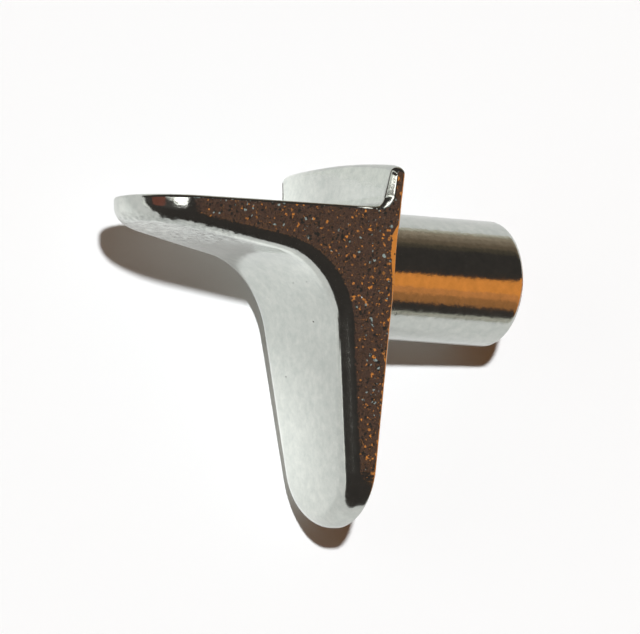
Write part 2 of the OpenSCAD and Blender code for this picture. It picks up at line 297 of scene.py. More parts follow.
def outer_line(turn):
    """One line of the outer sheaf: from the ledge's tip over the lip and down the back to the plate's tip."""
    rise, inset = 1 - math.sin(turn), 1 - math.cos(turn)
    ledge, plate = [], []
    for angle in tip_angles(LEDGE_TAPER):
        r = tip_round(angle, LEDGE_TAPER, OUTER_ROUND, OUTER_TIP_ROUND)
        ledge.append(on_ledge_tip(angle, LEDGE_HEIGHT - r * rise, r * inset))
    for angle in reversed(tip_angles(PLATE_TAPER)):
        r = tip_round(angle, PLATE_TAPER, BACK_ROUND, OUTER_TIP_ROUND)
        plate.append(on_plate_tip(angle, -r * rise, r * inset))
    lip = [over_lip_point(stop, turn) for stop in over_lip]
    foot, top = lip[: SMALL_STEPS + 1], lip[SMALL_STEPS + 1:]
    back = [over_lip_point(stop, turn) for stop in back_stops]
    return (
        ledge + between(ledge[-1], foot[0], 2 * STRAIGHT_STEPS)
        + foot + between(foot[-1], top[0], LIP_ROWS)
        + top + joined([top[-1]] + back + [plate[0]], BACK_STEPS)[1:-1] + plate
    )


turns = [math.pi / 2 * i / EDGE_STEPS for i in range(EDGE_STEPS + 1)]
inner_lines = [np.array(inner_line(t)) for t in turns]
outer_lines = [np.array(outer_line(t)) for t in turns]
print(len(inner_lines[0]), "points along the inner edge and", len(outer_lines[0]), "along the outer")

# %% [markdown]
# ## Faces between the lines
#
# The strips round the edges are plain grids. The flat faces could be one polygon each, but then the metal would be
# as flat as glass. A real casting is never quite flat: it shrinks as it cools and it is tumbled with others before
# plating. So the flat faces are filled with small triangles, fine enough to carry soft waves and tiny pits.

# %% A skin that collects points and faces
class Skin:
    def __init__(self):
        self.points, self.faces = [], []

    def add(self, points):
        """Adds points and says which numbers they got."""
        first = len(self.points)
        self.points += [tuple(p) for p in points]
        return list(range(first, first + len(points)))

    def grid(self, rows):
        """Quads between rows of points that have the same length."""
        numbered = [self.add(row) for row in rows]
        for a, b in zip(numbered, numbered[1:]):
            self.faces += [(a[i], a[i + 1], b[i + 1], b[i]) for i in range(len(a) - 1)]

    def triangles(self, points, faces):
        """Faces that are given by the numbers of these points."""
        number = self.add(points)
        self.faces += [tuple(number[i] for i in face) for face in faces]


def mirrored(line):
    """The same line on the other side: the part is symmetrical."""
    return np.array(line) * (1, -1, 1)


def ring(line):
    """A line on one side, carried on round the tips, back along the other side and closed."""
    line = np.array(line)
    return np.vstack([line, mirrored(line)[::-1], line[:1]])


# %% [markdown]
# A face is filled as a tiler would do it: an even lattice of points, without those that fall outside the outline or
# crowd it, and the triangles that join them best. Two measures come first: whether a point is inside, and how far in.

# %% Inside an outline, and the gap to it
TINY = 1e-12     # a length too small to divide by


def inside(outline, points):
    """Which points lie within a closed outline."""
    a, b = outline, np.roll(outline, -1, axis=0)
    x, y = points[:, 0, None], points[:, 1, None]
    crosses = (a[:, 1] > y) != (b[:, 1] > y)
    rise = np.where(np.abs(b[:, 1] - a[:, 1]) < TINY, TINY, b[:, 1] - a[:, 1])
    at = a[:, 0] + (y - a[:, 1]) / rise * (b[:, 0] - a[:, 0])
    return (crosses & (x < at)).sum(1) % 2 == 1


def gap_to(outline, points):
    """Distance of each point from a closed outline."""
    a, b = outline, np.roll(outline, -1, axis=0)
    d = b - a
    length = np.maximum((d * d).sum(1), TINY)
    out = np.empty(len(points))
    for i, p in enumerate(points):
        t = np.clip(((p - a) * d).sum(1) / length, 0, 1)
        out[i] = np.sqrt((((a + d * t[:, None]) - p) ** 2).sum(1).min())
    return out


# %% [markdown]
# A pit needs finer points than its surroundings, so it brings rings of its own, and the lattice stays clear of them.

# %% Fill a flat outline with small triangles
EDGE_CLEARANCE, PIT_CLEARANCE = 0.6, 2.0      # shares of the spacing, and of a pit's radius, that stay empty
PIT_RINGS, PIT_SPOKES, PIT_TWIST = (0.3, 0.6, 0.9, 1.2, 1.6), 12, 75
SAME_POINT = 1e-7


def rings_round(centre, radius):
    """Points in rings round a place, close enough together to draw a small pit."""
    around = [(r, 360 / PIT_SPOKES * k + PIT_TWIST * r) for r in PIT_RINGS for k in range(PIT_SPOKES)]
    return [centre] + [np.array(centre) + radius * r * unit(a) for r, a in around]


def fill(outline, spacing, hole=None, pits=()):
    """Points and triangles inside an outline. The outline's own points come first, unchanged, then the hole's."""
    outline = np.asarray(outline, float)
    (x0, y0), (x1, y1) = outline.min(0), outline.max(0)
    row_gap = spacing * math.sqrt(3) / 2
    lattice = np.array([
        (x0 + spacing * (i + 0.5 * (j % 2)), y0 + row_gap * j)
        for j in range(int((y1 - y0) / row_gap) + 1)
        for i in range(int((x1 - x0) / spacing) + 1)
    ])
    loops = [outline] if hole is None else [outline, np.asarray(hole, float)]
    lattice = lattice[inside(outline, lattice)]
    if hole is not None:
        lattice = lattice[~inside(loops[1], lattice)]
    for loop in loops:
        lattice = lattice[gap_to(loop, lattice) > spacing * EDGE_CLEARANCE]
    for centre, radius in pits:
        lattice = lattice[np.hypot(*(lattice - centre).T) > PIT_CLEARANCE * radius]
        lattice = np.vstack([lattice, rings_round(centre, radius)])
    flat = np.vstack(loops + [lattice])
    edges, first = [], 0
    for loop in loops:
        n = len(loop)
        edges += [(first + i, first + (i + 1) % n) for i in range(n)]
        first += n
    _, _, faces, origin, _, _ = delaunay_2d_cdt([Vector(p) for p in flat], edges, [], 1, SAME_POINT)
    number = [own[0] for own in origin]
    faces = np.array([[number[i] for i in face] for face in faces])
    middle = flat[faces].mean(1)
    keep = inside(outline, middle)
    if hole is not None:
        keep &= ~inside(loops[1], middle)
    return flat, faces[keep]


# %% [markdown]
# The underside, the large fillet and the plate's front make one face that is bent but not stretched, like a strip of
# sheet. It is laid out flat, filled, and bent back. Along the strip a point is known by its distance from where the
# fillet begins.

# %% Lay out the inner face and bend it back
web_start = web_centre + WEB_FILLET * unit(WEB_FROM)
web_length = math.radians(WEB_FROM - WEB_TO) * WEB_FILLET
ledge_way = unit(LEDGE_UNDER_ANGLE) * (1, -1)            # along the underside towards the root
plate_way = unit(PLATE_FRONT_ANGLE)[::-1] * (1, -1)      # down the plate's front


def along_strip(p):
    """Distance along the strip of a point of the inner face."""
    at = np.array([p[0], p[2]])
    if (at - web_start) @ ledge_way <= 0:
        return (at - web_start) @ ledge_way
    if (at - web_end) @ plate_way >= 0:
        return web_length + (at - web_end) @ plate_way
    d = at - web_centre
    return math.radians(WEB_FROM - math.degrees(math.atan2(d[1], d[0]))) * WEB_FILLET


def bend_back(s, y):
    """The point of the inner face at a distance along the strip and a place across it."""
    if s <= 0:
        x, z = web_start + ledge_way * s
    elif s >= web_length:
        x, z = web_end + plate_way * (s - web_length)
    else:
        x, z = web_centre + WEB_FILLET * unit(WEB_FROM - math.degrees(s / WEB_FILLET))
    return x, y, z


print("the large fillet takes", round(web_length, 2), "mm of the strip")

# %% [markdown]
# Now the first patches can be made: the two sheaves of edge lines, closed into rings, and the inner face. That face
# shows most, so its points are closest together. Its border keeps the very points of the edge's last line.

# %% The edges and the inner face
FINE, PLAIN = 0.1, 0.18     # spacing of the points on the face that shows most, and elsewhere
PITS = [                    # small gas pits of the casting: place along the strip and across it, and radius
    ((2.3, -0.55), 0.045), ((2.3, -1.5), 0.04), ((3.95, -0.95), 0.06), ((6.0, 1.3), 0.05),
]
skin = Skin()
skin.grid([ring(line) for line in inner_lines])
skin.grid([ring(line) for line in outer_lines])

last = inner_lines[-1]
border = np.vstack([last, mirrored(last)[::-1]])
flat, faces = fill([(along_strip(p), p[1]) for p in border], FINE, pits=PITS)
bent = [bend_back(*p) for p in flat]
bent[: len(border)] = [tuple(p) for p in border]
skin.triangles(bent, faces)
print("the inner face has", len(faces), "triangles")

# %% [markdown]
# The two side walls are flat, so one filling serves both, once on each side. Round a tip the wall is a single narrow
# strip between the inner and the outer edge.

# %% The side walls, with the walls of the two tips
corner_from, corner_to = TIP_STEPS - 1, len(inner_lines[0]) - TIP_STEPS
outer_to = len(outer_lines[0]) - TIP_STEPS
wall_in, wall_out = inner_lines[0], outer_lines[0]
border = np.vstack([wall_in[corner_from:corner_to + 1], wall_out[corner_from:outer_to + 1][::-1]])
flat, faces = fill(border[:, [0, 2]], PLAIN)
for side in (1, -1):
    wall = [(x, side * half_width(x, z), z) for x, z in flat]
    wall[: len(border)] = [tuple(p * (1, side, 1)) for p in border]
    skin.triangles(wall, faces)
for inner, outer in (
    (wall_in[:TIP_STEPS], wall_out[:TIP_STEPS]),
    (wall_in[corner_to:][::-1], wall_out[outer_to:][::-1]),
):
    skin.grid([np.vstack([line[::-1], mirrored(line)]) for line in (inner, outer)])
print("each side wall has", len(faces), "triangles")

# %% [markdown]
# The lip is a grid too: rows over it, and columns across it that crowd towards its corners, where it curves most.

# %% The lip
LIP_COLUMNS = 48
columns = [math.sin(math.pi / 2 * (1 - 2 * j / LIP_COLUMNS)) for j in range(LIP_COLUMNS + 1)]
lip_rows = [[over_lip_point(stop, math.pi / 2, c) for c in columns] for stop in over_lip]
foot_rows, top_rows = lip_rows[: SMALL_STEPS + 1], lip_rows[SMALL_STEPS + 1:]
front_rows = between(np.array(foot_rows[-1]), np.array(top_rows[0]), LIP_ROWS)
skin.grid(foot_rows + front_rows + top_rows)
print("the lip has", len(foot_rows + front_rows + top_rows), "rows")

# %% [markdown]
# The ledge's top and the back are flat. Each is bordered by the outer edge's last line and by one row of the lip, and
# the back has a hole where the pin begins.

# %% The ledge's top and the back
PIN_SIDES = 192
edge = outer_lines[-1]
foot_at = TIP_STEPS - 1 + 2 * STRAIGHT_STEPS
border = np.vstack([edge[: foot_at + 1][::-1], mirrored(edge[:foot_at]), mirrored(edge[foot_at:foot_at + 1])])
border = np.vstack([border, np.array(foot_rows[0])[::-1][1:-1]])
flat, faces = fill(border[:, :2], PLAIN)
skin.triangles([(x, y, LEDGE_HEIGHT) for x, y in flat], faces)

back_at = foot_at + len(over_lip) + LIP_ROWS - 2
border = np.vstack([edge[back_at:], mirrored(edge[back_at:])[::-1], np.array(top_rows[-1])[::-1][1:-1]])
circle = [PIN_RADIUS * unit(360 * i / PIN_SIDES) for i in range(PIN_SIDES)]
flat, faces = fill(border[:, 1:], PLAIN, circle)
skin.triangles([(0, y, z) for y, z in flat], faces)
print("the back has", len(faces), "triangles")

# %% [markdown]
# The pin is cast with the bracket and sized afterwards, so it is the truest surface of the part: a plain cylinder with
# a small radius at its free end. It is a grid of rings, closed by ever smaller ones over the end.

# %% The pin
PIN_ROWS, END_STEPS, CAP_RINGS = 64, 8, 15


def pin_ring(x, radius):
    """A closed ring of points round the pin's axis."""
    around = [radius * unit(360 * i / PIN_SIDES) for i in range(PIN_SIDES)]
    return np.array([(x, y, z) for y, z in around + around[:1]])


shoulder = PIN_LENGTH - PIN_END_ROUND
pin_rows = [pin_ring(shoulder * i / PIN_ROWS, PIN_RADIUS) for i in range(PIN_ROWS + 1)]
for i in range(1, END_STEPS + 1):
    out, up = unit(90 * i / END_STEPS)
    pin_rows.append(pin_ring(shoulder + PIN_END_ROUND * up, PIN_RADIUS - PIN_END_ROUND * (1 - out)))
end_radius = PIN_RADIUS - PIN_END_ROUND
pin_rows += [pin_ring(PIN_LENGTH, end_radius * share) for share in np.linspace(1, 0, CAP_RINGS + 1)[1:]]
skin.grid(pin_rows)
print("the skin has", len(skin.faces), "faces before its seams are closed")

# %% [markdown]
# ## Closing the skin
#
# The patches share the points along their borders, so merging the points that coincide closes the skin. A closed
# skin has a clear inside, which lets Blender turn every face outward, and it can be printed.

# %% Close the skin
SEAM = 0.0005     # points nearer to each other than this are one
mesh = bpy.data.meshes.new("shelf_support_pin")
mesh.from_pydata([Vector(p) for p in skin.points], [], skin.faces)
work = bmesh.new()
work.from_mesh(mesh)
bmesh.ops.remove_doubles(work, verts=work.verts, dist=SEAM)
bmesh.ops.dissolve_degenerate(work, edges=work.edges, dist=SEAM)
bmesh.ops.recalc_face_normals(work, faces=work.faces)
open_edges = sum(not e.is_manifold for e in work.edges)
print("open edges:", open_edges, " volume:", round(work.calc_volume(), 1), "cubic mm")

# %% [markdown]
# ## What the mould leaves
#
# Thin walls shrink unevenly as they cool, so a cast face waves by a few thousandths of a millimetre. The eye can't
# measure that, but a plated face is a mirror, and a mirror shows a tilt of one degree. So the skin's points are pushed
# in and out by a soft noise, and the pits that gas bubbles left are pushed in with them.

# %% Soft waves and pits
WAVES = [(2.3, 0.007), (0.8, 0.0015)]     # length and height
PIT_DEPTH, PIT_REACH = 0.7, 1.2           # against a pit's radius
PIN_CALM, CALM_WITHIN = 0.75, 0.6         # how much calmer the pin is, and how far from the back it is fully so
work.normal_update()
pit_places = [(Vector(bend_back(*centre)), radius) for centre, radius in PITS]
for v in work.verts:
    push = sum(height * noise.noise(v.co / length) for length, height in WAVES)
    push *= 1 - PIN_CALM * float(step_up(v.co.x, 0.0, CALM_WITHIN))
    for place, radius in pit_places:
        gap = (v.co - place).length / radius
        if gap < PIT_REACH:
            push -= PIT_DEPTH * radius * (1 - float(step_up(gap, 0.0, PIT_REACH)))
    v.co += v.normal * push
work.to_mesh(mesh)
work.free()
mesh.transform(Matrix.Scale(MM, 4))
mesh.polygons.foreach_set("use_smooth", [True] * len(mesh.polygons))
mesh.update()
print("a wave is at most", max(height for _, height in WAVES), "mm high")

# %% [markdown]
# The skin now stands in for the plain solid. It is one rigid casting, so it all rides on one body, and it is plated all
# over.

# %% Put the skin in place of the plain solid
def link(name, data):
    """A new object in the scene."""
    made = bpy.data.objects.new(name, data)
    bpy.context.scene.collection.objects.link(made)
    return made


casting = link("shelf_support_pin", mesh)
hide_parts("support_pin")
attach(casting, "root")
print("the casting has", len(mesh.vertices), "points")

# %% [markdown]
# ## Where the finish changes
#
# The plating is the same all over, but what lies under it isn't. The sides come from the mould's rough-ground halves
# and keep a grain, the inner face was polished, and the pin is smoothest. Each point of the skin remembers how much
# grain it has, whether it is on the pin, and where on the strip of the inner face it lies.

# %% Mark the grainy sides and the pin
SIDEWAYS = (0.93, 0.975)             # how squarely a point faces sideways where the grain begins, and where it is full
GRAIN_OFF_EDGE = 0.12                # the grain fades out this near to the inner edge
LIP_SMOOTHER, LIP_FADE, PIN_FADE = 0.6, 0.5, 0.05
normals = np.empty(len(mesh.vertices) * 3)
places = np.empty(len(mesh.vertices) * 3)
mesh.vertices.foreach_get("normal", normals)
mesh.vertices.foreach_get("co", places)
normals, places = normals.reshape(-1, 3), places.reshape(-1, 3) / MM
on_pin = step_up(places[:, 0], 0.0, PIN_FADE)
on_lip = step_up(places[:, 2], LEDGE_HEIGHT, LEDGE_HEIGHT + LIP_FADE)
edge_gap = np.min([np.hypot(places[:, 0] - p[0], places[:, 2] - p[2]) for p in inner_lines[0][::2]], axis=0)
side_grain = step_up(np.abs(normals[:, 1]), *SIDEWAYS) * step_up(edge_gap, 0.0, GRAIN_OFF_EDGE)
side_grain *= (1 - on_pin) * (1 - LIP_SMOOTHER * on_lip)
print(round(side_grain.mean() * 100), "% of the points have the side's grain")

# %% [markdown]
# A point is part of the inner face if it lies where the strip would be bent back to.

# %% Mark the inner face and keep all marks on the skin
FACE_FADE = (0.1, 0.35)              # the mark fades out between these distances from the face
strip_place = np.array([along_strip(p) for p in places])
strip_gap = np.array([math.dist(p[::2], bend_back(s, 0)[::2]) for p, s in zip(places, strip_place)])
inner_face = (1 - step_up(strip_gap, *FACE_FADE)) * (places[:, 0] < 0)
marks = {"side_grain": side_grain, "on_pin": on_pin, "strip_place": strip_place, "inner_face": inner_face}
for name, values in marks.items():
    mesh.attributes.new(name, "FLOAT", "POINT").data.foreach_set("value", values.astype(np.float32))
print("marks on the skin:", ", ".join(marks))

# %% [markdown]
# ## The nickel finish
#
# Bright nickel is a grey mirror that gives back a little over half of the light, and this one has aged slightly green.
# A smooth face blurs what it mirrors only a little. On the grainy sides each grain is a tiny mirror that leans its own
# way, which makes the metal sparkle.
#
# A material is a net of small sums, so it starts with helpers that make them and join them up.

# %% Helpers for a net of nodes
def start_nodes(owner):
    """Clears the nodes of a material or of the world. New nodes go there from now on."""
    global tree
    owner.use_nodes = True
    tree = owner.node_tree
    tree.nodes.clear()


def node(kind, inputs=None, **settings):
    """A new node with its settings and its inputs: numbers are set, and other nodes' outputs are linked."""
    made = tree.nodes.new(kind)
    for name, value in settings.items():
        setattr(made, name, value)
    for name, value in (inputs or {}).items():
        socket = made.inputs[name]
        if isinstance(value, bpy.types.NodeSocket):
            tree.links.new(value, socket)
        else:
            socket.default_value = value
    return made


def math_node(operation, *values):
    return node("ShaderNodeMath", dict(enumerate(values)), operation=operation).outputs[0]


def vector_node(operation, *values):
    """A vector sum, product or the like. SCALE takes its factor as the last value."""
    inputs = {0: values[0], "Scale": values[1]} if operation == "SCALE" else dict(enumerate(values))
    outputs = node("ShaderNodeVectorMath", inputs, operation=operation).outputs
    return outputs["Value"] if operation in ("DISTANCE", "DOT_PRODUCT") else outputs[0]


def spread(value, first, last, low_value, high_value, ends="LINEAR"):
    """Maps first..last of a value onto low_value..high_value, with hard ends or with soft ones."""
    inputs = {0: value, 1: first, 2: last, 3: low_value, 4: high_value}
    return node("ShaderNodeMapRange", inputs, interpolation_type=ends).outputs[0]


def blend(share, first_colour, second_colour):
    return node("ShaderNodeMix", {0: share, 6: first_colour, 7: second_colour}, data_type="RGBA").outputs[2]


def mark(name):
    return node("ShaderNodeAttribute", attribute_name=name).outputs["Fac"]


# %% [markdown]
# The finish reads the marks from the skin, and places in the metal's own millimetres, so that its noise sticks to it.

# %% Places and marks that the finish reads
nickel = bpy.data.materials.new("nickel_plate")
start_nodes(nickel)
in_mm = vector_node("SCALE", node("ShaderNodeTexCoord").outputs["Object"], 1 / MM)
grain_share, pin_share, strip_share, strip_way = (
    mark(name) for name in ("side_grain", "on_pin", "inner_face", "strip_place")
)


def fine_noise(scale, detail=2.0, roughness=0.5, place=None):
    """A cloudy value from 0 to 1, with so many clouds per millimetre."""
    inputs = {"Vector": place or in_mm, "Scale": scale, "Detail": detail, "Roughness": roughness}
    return node("ShaderNodeTexNoise", inputs).outputs["Fac"]


def noise_lean(scale, detail):
    """A random lean that changes softly from place to place."""
    colour = node("ShaderNodeTexNoise", {"Vector": in_mm, "Scale": scale, "Detail": detail}).outputs["Color"]
    return vector_node("SUBTRACT", colour, (0.5, 0.5, 0.5))


print("marks and places take", len(tree.nodes), "nodes")

# %% [markdown]
# The grain is made as small cells that tilt the surface at random. Most grains lean very little and a few lean a lot,
# so the lean grows fast with the cell's random value. A finer and a broader lean lie over the cells, or they would look
# like tiles. Under the ledge the mould's own rough skin was left, where nobody sees it.

# %% Grains that lean
GRAIN_PER_MM, GRAIN_LEAN, GRAIN_POWER = 10.5, 1.8, 2.5
PATCH_PER_MM, PATCH_LEAN = 3.0, 0.04
FINE_PER_MM, FINE_LEAN = 11.0, 0.27
DRAWN_PER_MM, PIN_LEAN, CAST_LEAN = 5.0, 0.045, 0.5
CAST_FULL, CAST_ENDS = -2.2, -0.6          # along the strip, where the large fillet begins at 0
past_cast = node("ShaderNodeMapRange", {0: strip_way, 1: CAST_FULL, 2: CAST_ENDS}).outputs[0]
cast_share = math_node("MULTIPLY", strip_share, math_node("SUBTRACT", 1.0, past_cast))

cells = node("ShaderNodeTexVoronoi", {"Vector": in_mm, "Scale": GRAIN_PER_MM, "Randomness": 1.0})
random_way = vector_node("SUBTRACT", cells.outputs["Color"], (0.5, 0.5, 0.5))
square = vector_node("DOT_PRODUCT", random_way, random_way)
grain_lean = math_node("MULTIPLY", math_node("POWER", square, GRAIN_POWER), GRAIN_LEAN)
grains = vector_node("SCALE", random_way, grain_lean)
patches = vector_node("SCALE", noise_lean(PATCH_PER_MM, 2.0), PATCH_LEAN)
fine = vector_node("SCALE", noise_lean(FINE_PER_MM, 1.5), FINE_LEAN)
lean = vector_node("SCALE", vector_node("ADD", vector_node("ADD", grains, patches), fine), grain_share)
drawn = noise_lean(DRAWN_PER_MM, 3.0)
for share, most in ((pin_share, PIN_LEAN), (cast_share, CAST_LEAN)):
    lean = vector_node("ADD", lean, vector_node("SCALE", drawn, math_node("MULTIPLY", share, most)))
surface = node("ShaderNodeNewGeometry").outputs["Normal"]
facets = vector_node("NORMALIZE", vector_node("ADD", surface, lean))
print(round(GRAIN_PER_MM ** 2), "grains on a square millimetre")

# %% [markdown]
# The inner face was polished along its length. The faint strokes that this leaves are noise, stretched along the strip.
# With a fine unevenness they make a relief so low that only its shading counts, so it is bump and not geometry.

# %% Strokes and a low relief
STROKES_ALONG, STROKES_ACROSS, STROKE_HEIGHT = 0.5, 5.0, 0.6
BROAD_PER_MM, NARROW_PER_MM, NARROW_HEIGHT = 5.0, 22.0, 0.3
RELIEF_HEIGHT = 0.03 * MM
across = node("ShaderNodeSeparateXYZ", {"Vector": in_mm}).outputs["Y"]
stroke_place = node("ShaderNodeCombineXYZ", {
    "X": math_node("MULTIPLY", strip_way, STROKES_ALONG), "Y": math_node("MULTIPLY", across, STROKES_ACROSS),
}).outputs[0]
strokes = fine_noise(1.0, 3.0, 0.6, stroke_place)
strokes = math_node("MULTIPLY", strokes, math_node("MULTIPLY", strip_share, STROKE_HEIGHT))
narrow = math_node("MULTIPLY", fine_noise(NARROW_PER_MM), NARROW_HEIGHT)
relief = math_node("ADD", math_node("ADD", fine_noise(BROAD_PER_MM, 3.0), narrow), strokes)
bump = node("ShaderNodeBump", {"Height": relief, "Normal": facets, "Strength": 0.1, "Distance": RELIEF_HEIGHT})
print("the relief is", round(RELIEF_HEIGHT / MM, 3), "mm high")

# %% [markdown]
# The satin comes from the roughness: a little everywhere, less on the grains, because each is a clean facet, and more
# on the rough skin under the ledge. The plating clouded unevenly, so two colours of nickel are mixed by noise. On the
# rough skin a third, darker colour lies in spots.

# %% Satin, clouds and spots
GRAIN_CLEANER, SATIN, CAST_SATIN, MOST_SPOT = -0.045, (0.09, 0.14), (0.04, 0.14), 0.9
DULL_NICKEL, BRIGHT_NICKEL, SPOT_NICKEL = (0.535, 0.565, 0.530, 1), (0.660, 0.680, 0.635, 1), (0.36, 0.38, 0.355, 1)
satin = spread(fine_noise(3.0, 4.0, 0.6), 0.3, 0.7, *SATIN)
roughness = math_node("ADD", satin, math_node("MULTIPLY", grain_share, GRAIN_CLEANER))
cast_rough = spread(fine_noise(4.0, 3.0, 0.6), 0.35, 0.65, *CAST_SATIN)
roughness = math_node("ADD", roughness, math_node("MULTIPLY", cast_share, cast_rough))
clouds = spread(fine_noise(2.6, 6.0, 0.72), 0.32, 0.68, 0.0, 1.0)
spots = math_node("MULTIPLY", spread(fine_noise(4.0, 4.0, 0.7), 0.42, 0.66, 0.0, MOST_SPOT), cast_share)
tint = blend(spots, blend(clouds, DULL_NICKEL, BRIGHT_NICKEL), SPOT_NICKEL)
shader = node("ShaderNodeBsdfPrincipled", {
    "Base Color": tint, "Metallic": 1.0, "Roughness": roughness, "Normal": bump.outputs[0],
})
node("ShaderNodeOutputMaterial", {"Surface": shader.outputs[0]})
casting.data.materials.append(nickel)
print("the nickel is made of", len(tree.nodes), "nodes")

# %% [markdown]
# ## The table
#
# The part is small enough to lie on its back edge and the rim of its pin, with the ledge in the air. The installed
# part's own frame stays as it is, so here the table is tilted under it instead: the table is the plane that touches
# the back edge of the far side and the rim of the pin.

# %% How the part lies
edge_lean = tan(PLATE_TAPER)
pin_lean = (PIN_RADIUS * math.hypot(1, edge_lean) - HALF_ROOT + LEDGE_HEIGHT * edge_lean) / PIN_LENGTH
table_up = Vector((pin_lean, -1, edge_lean)).normalized()
table_level = min(Vector(co) @ table_up for co in places) * MM
table_right = (Vector((1, 0, 0)) - table_up * table_up.x).normalized()
table_ahead = table_up.cross(table_right)


def over_table(right, ahead, rise=0.0):
    """A place in millimetres to the right of the part, ahead of it and above the table."""
    return table_up * (table_level + rise * MM) + (table_right * right + table_ahead * ahead) * MM


def face(o, direction):
    """Turns an object so that its own upward side looks in a direction."""
    o.rotation_mode = "QUATERNION"
    o.rotation_quaternion = direction.to_track_quat("Z", "Y")


print("the table's own up is", [round(v, 3) for v in table_up])

# %% [markdown]
# The table is a sheet of white paper. The part shades it here and throws light onto it there, and the metal mirrors
# that. So for the metal the paper also glows evenly with light of its own, which lightens the shadows it mirrors, and
# with soft pools of painted light and one of painted shade. From below, the table lets the eye through, so that the
# far side can be looked at too.

# %% The table and its paper
TABLE_SIZE, PAPER_WHITE = 0.8, (0.95, 0.95, 0.95, 1)
OWN_LIGHT, OWN_LIGHT_SHARE = 0.64, 0.5
# Pools of painted light that only the metal sees; the last one, below zero, is a pool of painted shade.
POOLS = [                    # right, ahead, reach, brightness
    (-2.4, -5.0, 4.0, 0.85), (-2.2, -8.2, 4.0, 0.75), (-1.2, 3.9, 3.0, 1.1), (-5.5, 4.8, 3.6, 0.5),
    (-14, 0, 7.5, 0.7), (-5.5, 0, 4.5, 0.27), (-7.6, 0.4, 3.4, 0.45), (-2, -17, 8, 0.25), (4, -7, 5, -0.25),
]
square_corners = [(x * TABLE_SIZE / 2, y * TABLE_SIZE / 2, 0) for x, y in ((-1, -1), (1, -1), (1, 1), (-1, 1))]
table_mesh = bpy.data.meshes.new("table")
table_mesh.from_pydata(square_corners, [], [(0, 1, 2, 3)])
table = link("table", table_mesh)
table.location = table_up * table_level
face(table, table_up)

paper = bpy.data.materials.new("white_paper")
start_nodes(paper)
white = node("ShaderNodeBsdfDiffuse", {"Color": PAPER_WHITE})
paper_place = node("ShaderNodeNewGeometry").outputs["Position"]
# Each pool paints light onto the paper's own light by the distance from its centre, or shade where it is below zero.
brightness = OWN_LIGHT
for right, ahead, reach, more in POOLS:
    gap = vector_node("DISTANCE", paper_place, over_table(right, ahead))
    brightness = math_node("ADD", brightness, spread(gap, 0, reach * MM, more, 0, "SMOOTHSTEP"))
own_light = node("ShaderNodeEmission", {"Color": PAPER_WHITE, "Strength": brightness})
in_metal = math_node("MULTIPLY", node("ShaderNodeLightPath").outputs["Is Glossy Ray"], OWN_LIGHT_SHARE)
sheet = node("ShaderNodeMixShader", {0: in_metal, 1: white.outputs[0], 2: own_light.outputs[0]})
clear = node("ShaderNodeBsdfTransparent")
below = node("ShaderNodeNewGeometry").outputs["Backfacing"]
either = node("ShaderNodeMixShader", {0: below, 1: sheet.outputs[0], 2: clear.outputs[0]})
node("ShaderNodeOutputMaterial", {"Surface": either.outputs[0]})
table.data.materials.append(paper)
print("the paper has", len(POOLS), "pools of light")

# %% [markdown]
# ## What the metal sees
#
# A mirror has no look of its own: it shows the room. Here that is a dark room with a white table, so a large black tent
# stands round the part and coloured cards hang inside it. The camera looks through them, and only the metal shows them.
# A direction is a turn round the table, 0 along the pin and 90 up along the cabinet, and a height above the table.

# %% Directions over the table, and cards that only the metal shows
BLACK = (0.045, 0.039, 0.036)
CLOTH_PER_METRE, CLOTH_TONES = 26.0, (0.50, 0.64)     # the noise values where the second tone begins and is full


def way(turn, height):
    """A direction by its turn round the table and its height above it, in degrees."""
    across, rise = unit(height)
    c, s = unit(turn)
    return (table_right * c + table_ahead * s) * across + table_up * rise


def glow(name, colour, strength=1.0, second_tone=None):
    """An even light from a surface, or one that a second tone mottles, as in a coarse cloth."""
    made = bpy.data.materials.new(name)
    start_nodes(made)
    light = (*colour, 1)
    if second_tone:
        threads = fine_noise(CLOTH_PER_METRE, 3.0, place=node("ShaderNodeNewGeometry").outputs["Position"])
        light = blend(spread(threads, *CLOTH_TONES, 0.0, 1.0), light, (*second_tone, 1))
    light = node("ShaderNodeEmission", {"Color": light, "Strength": strength})
    node("ShaderNodeOutputMaterial", {"Surface": light.outputs[0]})
    return made


def only_in_metal(name, made, finish):
    """Puts a mesh in the scene so that it shows in the metal's mirror image and nowhere else."""
    made.materials.append(finish)
    o = link(name, made)
    o.visible_camera = o.visible_diffuse = o.visible_shadow = False
    o.visible_transmission = o.visible_volume_scatter = False
    return o


def flat_card(name, corners, *light):
    made = bpy.data.meshes.new(name)
    made.from_pydata(corners, [], [list(range(len(corners)))])
    only_in_metal(name, made, glow(name + "_glow", *light))


print("straight up along the cabinet is", [round(v, 2) for v in way(90, 0)])

# %% [markdown]
# The tent is a sphere, cut off a little below the table. Black cloth is never quite black, so it glows faintly.

# %% The dark tent
TENT_RADIUS, TENT_BELOW = 1.5, 0.06
tent_mesh = bpy.data.meshes.new("dark_tent")
tent = bmesh.new()
bmesh.ops.create_uvsphere(tent, u_segments=96, v_segments=64, radius=TENT_RADIUS)
bmesh.ops.bisect_plane(
    tent, geom=tent.verts[:] + tent.edges[:] + tent.faces[:],
    plane_co=(0, 0, -TENT_BELOW), plane_no=(0, 0, 1), clear_inner=True,
)
tent.to_mesh(tent_mesh)
tent.free()
face(only_in_metal("dark_tent", tent_mesh, glow("black_cloth", BLACK)), table_up)
print("the tent has", len(tent_mesh.polygons), "faces")

# %% [markdown]
# The cards are the colours of the room. An orange board with darker edges gives the pin its warm band and the grains
# their sparks, a maroon cloth above it colours the sides, and pale walls and the edge of a lamp are beyond the ledge.
# A card's outline decides where its colour ends on the metal, so its corners follow from where that line should fall.

# %% Cards in the tent
CARD_DISTANCE = 1.2


def hang(name, corners, *light):
    """A card with its corners in these directions, as (turn, height) pairs, and its light as glow takes it."""
    flat_card(name, [way(*corner) * CARD_DISTANCE for corner in corners], *light)


